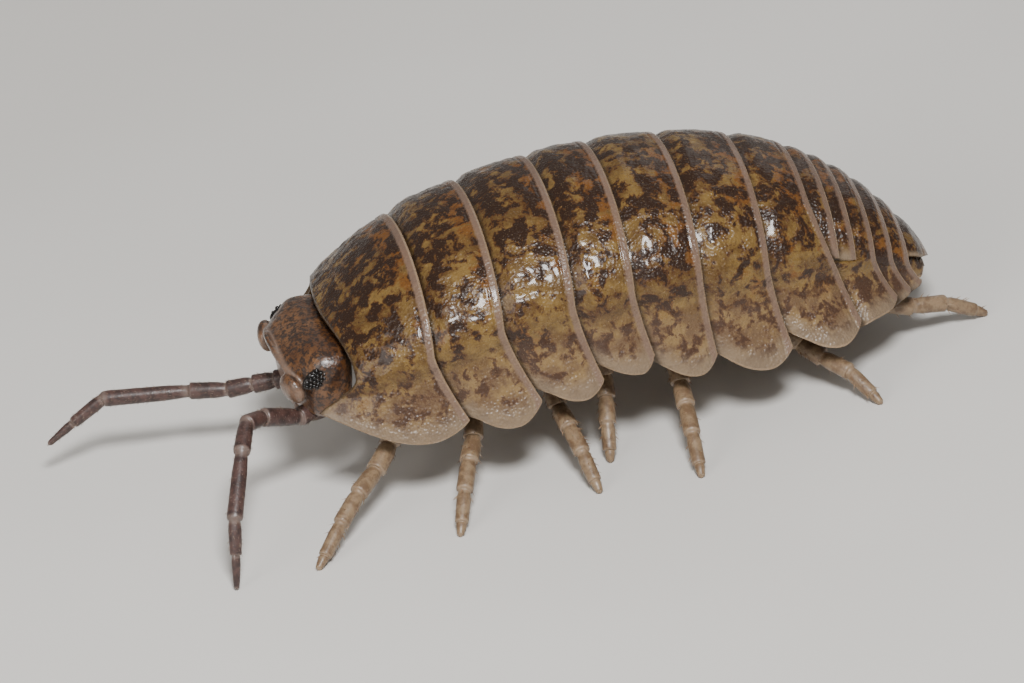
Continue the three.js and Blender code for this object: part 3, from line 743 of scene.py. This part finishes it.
beads = tree_with("eye lenses", {"Lens radius": LENS["radius"] * MM}, bead_tree)
for label, sign in (("left", 1), ("right", -1)):
    yaw = Matrix.Rotation(sign * EYE["turn"], 3, "Z")
    turn = np.array(Matrix.Rotation(EYE["tilt"], 3, "X") @ yaw)
    place = np.array(EYE["place"]) * [sign, 1, 1]
    spots = []
    for row in range(-2, 3):
        for k in range(-4, 5):
            along, up = (k + 0.5 * (row % 2)) * LENS["along"], row * LENS["up"]
            room = 1 - (along / EYE["long"]) ** 2 - (up / EYE["tall"]) ** 2
            if room > 0.1:
                local = np.array([sign * EYE["deep"] * math.sqrt(room), along, up])
                spots.append(turn @ local + place)
    seed = new_piece("lens_spots", to_row(over_floor(np.array(spots))), [])
    lenses = grown(seed, beads, {"Lens radius": LENS["radius"] * MM}, f"eye_{label}_lenses")
    bpy.data.objects.remove(seed)
    radii = EYE["deep"], EYE["long"], EYE["tall"]
    oval, faces = ball(place, radii, (EYE["tilt"], 0, sign * EYE["turn"]))
    base = new_piece(f"eye_{label}_base", to_row(over_floor(oval)), faces)
    wear(base, f"eye_{label}", lens.material)
    wear(lenses, None, None)

# Feelers: a pair, each a chain of seven tubes of dark purplish cuticle with pale joint rings and
# a fine fuzz. Each tube is narrow where it leaves the one before and ends in a lip.
FEELER_RADII = [0.22, 0.22, 0.21, 0.2, 0.19, 0.18, 0.13, 0.06]
FEELERS = {
    "left": [
        (1.0, -6.9, 2.1),
        (1.35, -7.55, 2.1),
        (1.75, -8.42, 2.54),
        (2.15, -8.87, 2.7),
        (3.05, -9.2, 2.5),
        (4.25, -9.8, 1.5),
        (4.55, -9.96, 0.78),
        (4.76, -10.11, 0.07),
    ],
    "right": [
        (-0.9, -6.9, 1.95),
        (-1.15, -7.63, 1.86),
        (-1.3, -8.13, 1.81),
        (-1.5, -8.71, 1.73),
        (-1.8, -9.55, 1.78),
        (-2.3, -11.52, 1.88),
        (-2.42, -12.3, 1.4),
        (-2.5, -12.94, 0.98),
    ],
}
# share of the article's length, and of its radius, from its root to its lip
ARTICLE = [
    (0, 0.78),
    (0.05, 0.76),
    (0.12, 0.84),
    (0.3, 0.95),
    (0.55, 0.98),
    (0.8, 1.02),
    (0.93, 1.05),
    (0.98, 1.02),
    (1.0, 0.9),
]


def limb(name, joints, radii, sides=24):
    """A chain of articles through the joints, which keeps the way to its tip and its joints."""
    joints = np.array(joints, float)
    centres, sizes, near, axes = [], [], [], []
    for i in range(len(joints) - 1):
        step = joints[i + 1] - joints[i]
        for share, size in ARTICLE:
            centres.append(joints[i] + step * share)
            sizes.append(size * mix(radii[i], radii[i + 1], share))
            near.append(1.0 if share < 0.1 or share > 0.93 else 0.0)
            axes.append(step / np.linalg.norm(step))
    centres += [joints[-1] + axes[-1] * radii[-1] * k for k in (0.35, 0.6)]
    sizes += [radii[-1] * 0.6, radii[-1] * 0.15]
    near += [1.0, 1.0]
    axes += [axes[-1]] * 2
    axes = np.array(axes)
    bend = axes.copy()
    bend[1:-1] = axes[:-2] + axes[1:-1] + axes[2:]
    bend /= np.linalg.norm(bend, axis=1, keepdims=True)
    across = np.cross(bend[0], [0, 0, 1.0])
    rings = []
    for centre, size, axis in zip(centres, sizes, bend):
        across = across - axis * (across @ axis)
        across /= np.linalg.norm(across)
        up = np.cross(axis, across)
        angle = np.arange(sides) * 2 * math.pi / sides
        around = np.cos(angle)[:, None] * across + np.sin(angle)[:, None] * up
        rings.append(centre + size * around)
    points = np.array(rings)
    points[..., 2] = np.maximum(points[..., 2], 0.0)
    ahead = np.repeat(bend[:, None, :], sides, 1).astype(np.float32)
    ring = np.repeat(np.array(near)[:, None], sides, 1).astype(np.float32)
    down = np.linspace(0.01, 0.99, len(rings))[:, None] + np.zeros(sides)
    about = np.arange(sides) / sides + np.zeros(down.shape)
    unwrap = np.stack([down, about, np.zeros(down.shape)], -1).astype(np.float32)
    fields = dict(ahead=ahead, ring=ring, unwrap=unwrap)
    return new_piece(name, to_row(points), loft_faces(len(rings), sides), **fields)


HAIR_PATCH = 0.003


def root_patches(hairs):
    """Gives each hair a small patch of a UV map, at its root's place on the unrolled limb."""
    mesh = hairs.data
    root = np.empty(len(mesh.vertices) * 3, np.float32)
    mesh.attributes["unwrap"].data.foreach_get("vector", root)
    corner = np.empty(len(mesh.loops), np.int32)
    mesh.loops.foreach_get("vertex_index", corner)
    corners = np.array([(0, 0), (1, 0), (0, 1), (-1, 0), (0, -1)])
    patch = HAIR_PATCH / 2 * corners[corner % len(corners)]
    places = root.reshape(-1, 3)[corner, :2] + patch
    mesh.uv_layers.new(name="OFBake").data.foreach_set("uv", places.astype(np.float32).ravel())


HAIR_LEAN, SHORTEST_HAIR, LONGEST_HAIR = 1.1, 0.6, 1.3
BARE_HEIGHT = 0.2 * MM


def hair_tree(material):
    """Short pointed hairs over a limb, leaning towards its tip, with none next to the floor."""

    def build(node, inputs):
        height = node("ShaderNodeSeparateXYZ", Vector=node("GeometryNodeInputPosition").outputs[0])
        clear = node(
            "FunctionNodeCompare",
            dict(operation="GREATER_THAN"),
            A=height.outputs["Z"],
            B=inputs["Bare height"],
        )
        spots = node(
            "GeometryNodeDistributePointsOnFaces",
            Mesh=inputs["Geometry"],
            Selection=clear.outputs[0],
            Density=inputs["Hairs per square metre"],
            Seed=inputs["Seed"],
        )
        hair = node(
            "GeometryNodeMeshCone",
            Vertices=4,
            Radius_Bottom=inputs["Hair radius"],
            Depth=inputs["Hair length"],
        )
        way = node("GeometryNodeInputNamedAttribute", dict(data_type="FLOAT_VECTOR"), Name="ahead")
        scale = dict(operation="SCALE")
        lean = node("ShaderNodeVectorMath", scale, Vector=way.outputs[0], Scale=HAIR_LEAN)
        total = node("ShaderNodeVectorMath", dict(operation="ADD"))
        tree = total.id_data
        tree.links.new(spots.outputs["Normal"], total.inputs[0])
        tree.links.new(lean.outputs[0], total.inputs[1])
        turn = node("FunctionNodeAlignRotationToVector", dict(axis="Z"), Vector=total.outputs[0])
        size = node(
            "FunctionNodeRandomValue", Min=SHORTEST_HAIR, Max=LONGEST_HAIR, Seed=inputs["Seed"]
        )
        placed = node(
            "GeometryNodeInstanceOnPoints",
            Points=spots.outputs["Points"],
            Instance=hair.outputs[0],
            Rotation=turn.outputs[0],
            Scale=[o for o in size.outputs if o.type == "VALUE" and o.enabled][0],
        )
        solid = node("GeometryNodeRealizeInstances", Geometry=placed.outputs[0])
        dressed = node("GeometryNodeSetMaterial", Geometry=solid.outputs[0], Material=material)
        return dressed.outputs[0]

    inputs = {"Hair length": 0.0, "Hair radius": 0.0, "Hairs per square metre": 0.0, "Seed": 1}
    inputs["Bare height"] = BARE_HEIGHT
    return tree_with("hairs on " + material.name, inputs, build)


def limb_look(name, main, deep, ring, translucent):
    """Thin, slightly see-through cuticle in two tones, with pale joint rings."""
    look = Look(
        name,
        **{
            "IOR": 1.48,
            "Subsurface Weight": translucent,
            "Subsurface Radius": (0.0004, 0.00025, 0.00015),
            "Coat Weight": 0.15,
            "Coat Roughness": 0.3,
        },
    )
    mid, fine = look.cloud(0.25, 4, 0.6, 0.5), look.cloud(0.07, 3, 0.6)
    colour = look.blend(look.ramp(0.7 * mid + 0.3 * fine, 0.42, 0.6), main, deep)
    colour = look.blend(0.5 * look.field("ring"), colour, ring)
    look.set(Base_Color=colour, Roughness=look.ramp(fine, 0.3, 0.7, 0.35, 0.55))
    look.bump((mid, 0.02, 0.3), (look.grains(0.05), 0.01, 0.4))
    return look.material


feeler_colours = (0.07, 0.036, 0.03), (0.03, 0.016, 0.014), (0.2, 0.145, 0.12)
feeler_skin = limb_look("feeler cuticle", *feeler_colours, 0.1)
fuzz = limb_look("pale fuzz", (0.3, 0.23, 0.18), (0.2, 0.14, 0.1), (0.3, 0.23, 0.18), 0.2)
FUZZ = {"Hair length": 0.07 * MM, "Hair radius": 0.005 * MM, "Hairs per square metre": 9e7}
fuzz_tree = hair_tree(fuzz)
for index, (label, joints) in enumerate(FEELERS.items()):
    feeler = limb(f"antenna_{label}_skin", joints, FEELER_RADII)
    fine_hair = {**FUZZ, "Seed": 3 + index, "Bare height": BARE_HEIGHT}
    hairs = grown(feeler, fuzz_tree, fine_hair, f"antenna_{label}_fuzz")
    root_patches(hairs)
    wear(feeler, f"antenna_{label}", feeler_skin)
    wear(hairs, None, None)

# Walking legs: fourteen, each a chain of seven tubes of thin, see-through beige cuticle with
# short spines. Each leaves the belly, bends down past its plate and stands on a small flat sole.
LEG_RADII = [0.24, 0.24, 0.235, 0.225, 0.21, 0.19, 0.15, 0.075]
LEG_SHARES = [0, 0.2, 0.34, 0.48, 0.62, 0.78, 0.94, 1]
# two bends of a leg: their shares of the way to the foot, and their heights
FORWARD = ((0.22, 0.62), (1.42, 0.86))
BACKWARD = ((0.5, 0.8), (1.05, 0.66))
# where each foot stands and which way its leg bends
LEGS = {
    "left": [
        (4.81, -8.2, FORWARD),
        (4.95, -4.88, FORWARD),
        (4.62, -1.5, FORWARD),
        (3.34, -0.93, FORWARD),
        (5.1, 0.8, FORWARD),
        (3.86, 5.41, BACKWARD),
        (0.98, 8.75, BACKWARD),
    ],
    "right": [
        (-4.4, -7.0, FORWARD),
        (-4.75, -5.25, FORWARD),
        (-4.8, -2.6, FORWARD),
        (-4.75, -0.3, FORWARD),
        (-4.6, 1.5, BACKWARD),
        (-4.2, 4.2, BACKWARD),
        (-2.9, 7.4, BACKWARD),
    ],
}
LEG_ROOTS = [-5.35, -3.75, -2.2, -0.75, 0.85, 2.6, 4.0]
LEG_ROOT_X, LEG_ROOT_RISE, SOLE = 1.5, 0.3, 0.05
BELLY = 0.62
SPINES = {"Hair length": 0.13 * MM, "Hair radius": 0.011 * MM, "Hairs per square metre": 1.6e7}


def even_path(knots, shares):
    """Points at shares of the length of a centripetal Catmull-Rom curve through the knots."""
    p = np.array(knots, float)
    p = np.concatenate([[2 * p[0] - p[1]], p, [2 * p[-1] - p[-2]]])
    curve = []
    for i in range(1, len(p) - 2):
        a, b, c, d = p[i - 1 : i + 3]
        ta, tb, tc = (max(np.linalg.norm(q - r) ** 0.5, 1e-4) for q, r in ((b, a), (c, b), (d, c)))
        m1 = ((b - a) / ta - (c - a) / (ta + tb) + (c - b) / tb) * tb
        m2 = ((c - b) / tb - (d - b) / (tb + tc) + (d - c) / tc) * tb
        t = np.linspace(0, 1, 120)[:, None]
        square, cube = 3 * (c - b) - 2 * m1 - m2, 2 * (b - c) + m1 + m2
        curve.append(b + m1 * t + square * t**2 + cube * t**3)
    line = np.concatenate(curve)
    run = np.concatenate([[0], np.cumsum(np.linalg.norm(np.diff(line, axis=0), axis=1))])
    return np.stack([np.interp(np.array(shares) * run[-1], run, line[:, k]) for k in range(3)], -1)


leg_colours = (0.22, 0.15, 0.088), (0.13, 0.078, 0.042), (0.28, 0.2, 0.13)
leg_skin = limb_look("leg cuticle", *leg_colours, 0.3)
spine = limb_look("leg spine", (0.3, 0.2, 0.12), (0.16, 0.09, 0.05), (0.3, 0.2, 0.12), 0.1)
spine_tree = hair_tree(spine)
for label, sign in (("left", 1), ("right", -1)):
    for number, (foot_x, foot_y, (along, heights)) in enumerate(LEGS[label], 1):
        root_y = LEG_ROOTS[number - 1]
        belly = float(outer_form(np.array(root_y), np.array(KINK_V))[2]) - BELLY
        root = over_floor(np.array([sign * LEG_ROOT_X, root_y, belly + LEG_ROOT_RISE]))
        knots = [root]
        for across, share, height in zip((0.3, 0.66), along, heights):
            knots.append([mix(root[0], foot_x, across), mix(root[1], foot_y, share), height])
        knots.append([foot_x, foot_y, SOLE])
        joints = even_path(knots, LEG_SHARES)
        leg = limb(f"leg_{label}_{number}_skin", joints, LEG_RADII)
        spines = {**SPINES, "Seed": 20 + number, "Bare height": BARE_HEIGHT}
        hairs = grown(leg, spine_tree, spines, f"leg_{label}_{number}_spines")
        root_patches(hairs)
        wear(leg, f"leg_{label}_{number}", leg_skin)
        wear(hairs, None, None)

# Underside: the soft pale belly between the legs, with a fold at each ring, and the flat gill
# flaps under the tail, both of skin. The bunched mouthparts under the head are brown cuticle.
flesh = Look(
    "belly skin",
    **{"Subsurface Weight": 0.3, "Subsurface Radius": (0.0005, 0.0003, 0.0002), "IOR": 1.42},
)
mid, fine = flesh.cloud(0.5, 5, 0.6), flesh.cloud(0.1, 4, 0.6)
tone = flesh.blend(flesh.ramp(mid, 0.4, 0.65), (0.36, 0.28, 0.2), (0.22, 0.155, 0.105))
flesh.set(Base_Color=tone, Roughness=flesh.ramp(fine, 0.3, 0.7, 0.4, 0.6))
flesh.bump((mid, 0.05, 0.4), (fine, 0.02, 0.4))

stations, arch, under = 220, 60, 60
TRUNK = dict(front=-6.15, hind=5.0, inset=0.64, fold=0.1, fold_at=0.75, fold_step=1.6)
rings = []
for y in np.linspace(TRUNK["front"], TRUNK["hind"], stations):
    v = np.linspace(-KINK_V, KINK_V, arch)
    top = inside_form(y + 0 * v, v, TRUNK["inset"] + 0 * v)
    left, t = top[-1], np.linspace(0, 1, under + 2)[1:-1]
    turn = (y - TRUNK["fold_at"]) / TRUNK["fold_step"]
    fold = TRUNK["fold"] * math.cos(2 * math.pi * turn)
    sag = (BELLY + fold) * np.sin(math.pi * t) ** 0.6
    low = np.stack([mix(left[0], -left[0], t), y + 0 * t, left[2] - sag], -1)
    rings.append(np.concatenate([top, low]))
trunk = np.array(rings)
trunk = trunk + (grain(trunk, 0.4, 3) * 0.03)[..., None] * [0, 0, 1.0]
belly_faces = loft_faces(stations, arch + under)
belly_skin = new_piece("trunk_skin", to_row(over_floor(trunk)), belly_faces)
wear(belly_skin, "trunk", flesh.material)

flaps = [ball((0, 5.92, 2.72), (1.15, 0.8, 0.32), (-0.3, 0, 0))]
for pair in range(5):
    for sign in (-1, 1):
        width, y, z = 0.66 - 0.08 * pair, 5.42 + 0.32 * pair, 2.5 - 0.08 * pair
        flaps.append(ball((sign * width * 0.78, y, z), (width, 0.3, 0.13), (-0.5, sign * 0.18, 0)))
points, faces = melted("pleopods", flaps, 0.045, 2)
gills = new_piece("pleopods_skin", to_row(over_floor(points)), faces)
wear(gills, "pleopods", flesh.material)

bunch = [ball((s * 0.34, -7.1, 1.0), (0.4, 0.5, 0.26), (0.2, 0, s * 0.12)) for s in (-1, 1)]
bunch += [ball((s * 0.45, -7.4, 1.12), (0.28, 0.26, 0.3)) for s in (-1, 1)]
points, faces = melted("mouthparts", bunch, 0.03, 2)
mouth = new_piece("mouthparts_skin", to_row(over_floor(points)), faces)
jaw_colours = (0.13, 0.08, 0.055), (0.07, 0.038, 0.028), (0.2, 0.14, 0.1)
wear(mouth, "mouthparts", limb_look("mouthpart cuticle", *jaw_colours, 0.15))

# Stage: a plain pale floor, three soft studio lamps and the camera at the photograph's angle.
# None of it belongs to the animal. The camera is set by its angle, focal length and centre.
paper = Look("pale floor", **{"Roughness": 0.7})
cloudy = paper.ramp(paper.cloud(30.0, 3), 0.3, 0.7)
shade = paper.blend(cloudy, (0.62, 0.6, 0.57), (0.68, 0.66, 0.63))
paper.set(Base_Color=shade)
half = 1.5
corners = np.array([[-half, -half, 0], [half, -half, 0], [half, half, 0], [-half, half, 0]])
floor = new_piece("floor", corners, [(0, 1, 2, 3)])
floor.data.materials.append(paper.material)

world = bpy.data.worlds.new("studio")
bpy.context.scene.world = world
world.use_nodes = True
world.node_tree.nodes["Background"].inputs["Color"].default_value = (1.0, 0.98, 0.95, 1)
world.node_tree.nodes["Background"].inputs["Strength"].default_value = 0.26


def lamp(name, direction, distance, size, power, colour=(1, 1, 1)):
    data = bpy.data.lights.new(name, "AREA")
    data.shape, data.size, data.energy, data.color = "DISK", size, power, colour
    light = bpy.data.objects.new(name, data)
    way = Vector(direction).normalized()
    light.location = way * distance + Vector((0, 0, 0.003))
    light.rotation_euler = way.to_track_quat("Z", "Y").to_euler()
    bpy.context.scene.collection.objects.link(light)


lamp("key lamp", (0.64, 0.0, 0.77), 0.14, 0.034, 0.28)
lamp("front fill", (0.6, -0.8, 0.5), 0.2, 0.12, 0.13, (1.0, 0.97, 0.93))
lamp("back fill", (-0.7, 0.5, 0.6), 0.2, 0.12, 0.03, (1.0, 0.97, 0.93))

AZIMUTH, ELEVATION, ROLL = (math.radians(a) for a in (80.86, 27.42, -10.06))
WIDE, TALL, SENSOR = 1024, 683, 36
FOCAL, CENTRE = 9713.3, (605.2, 241.59)
eye_point = np.array([196.3, -31.21, 106.98])
back = np.array(
    [
        math.sin(AZIMUTH) * math.cos(ELEVATION),
        -math.cos(AZIMUTH) * math.cos(ELEVATION),
        math.sin(ELEVATION),
    ]
)
level = np.array([math.cos(AZIMUTH), math.sin(AZIMUTH), 0])
upright = np.cross(back, level)
right = math.cos(ROLL) * level + math.sin(ROLL) * upright
up = -math.sin(ROLL) * level + math.cos(ROLL) * upright
toward = -back * FOCAL + right * (WIDE / 2 - CENTRE[0]) - up * (TALL / 2 - CENTRE[1])
ahead = toward / np.linalg.norm(toward)
across = np.cross(ahead, up)
across /= np.linalg.norm(across)
upward = np.cross(across, ahead)
camera_data = bpy.data.cameras.new("camera")
camera_data.lens = FOCAL / WIDE * SENSOR
camera_data.clip_start, camera_data.clip_end = 0.01, 10
camera = bpy.data.objects.new("camera", camera_data)
turn = Matrix((across, upward, -ahead)).transposed().to_4x4()
camera.matrix_world = Matrix.Translation(Vector(to_row(eye_point))) @ turn
bpy.context.scene.collection.objects.link(camera)
bpy.context.scene.camera = camera
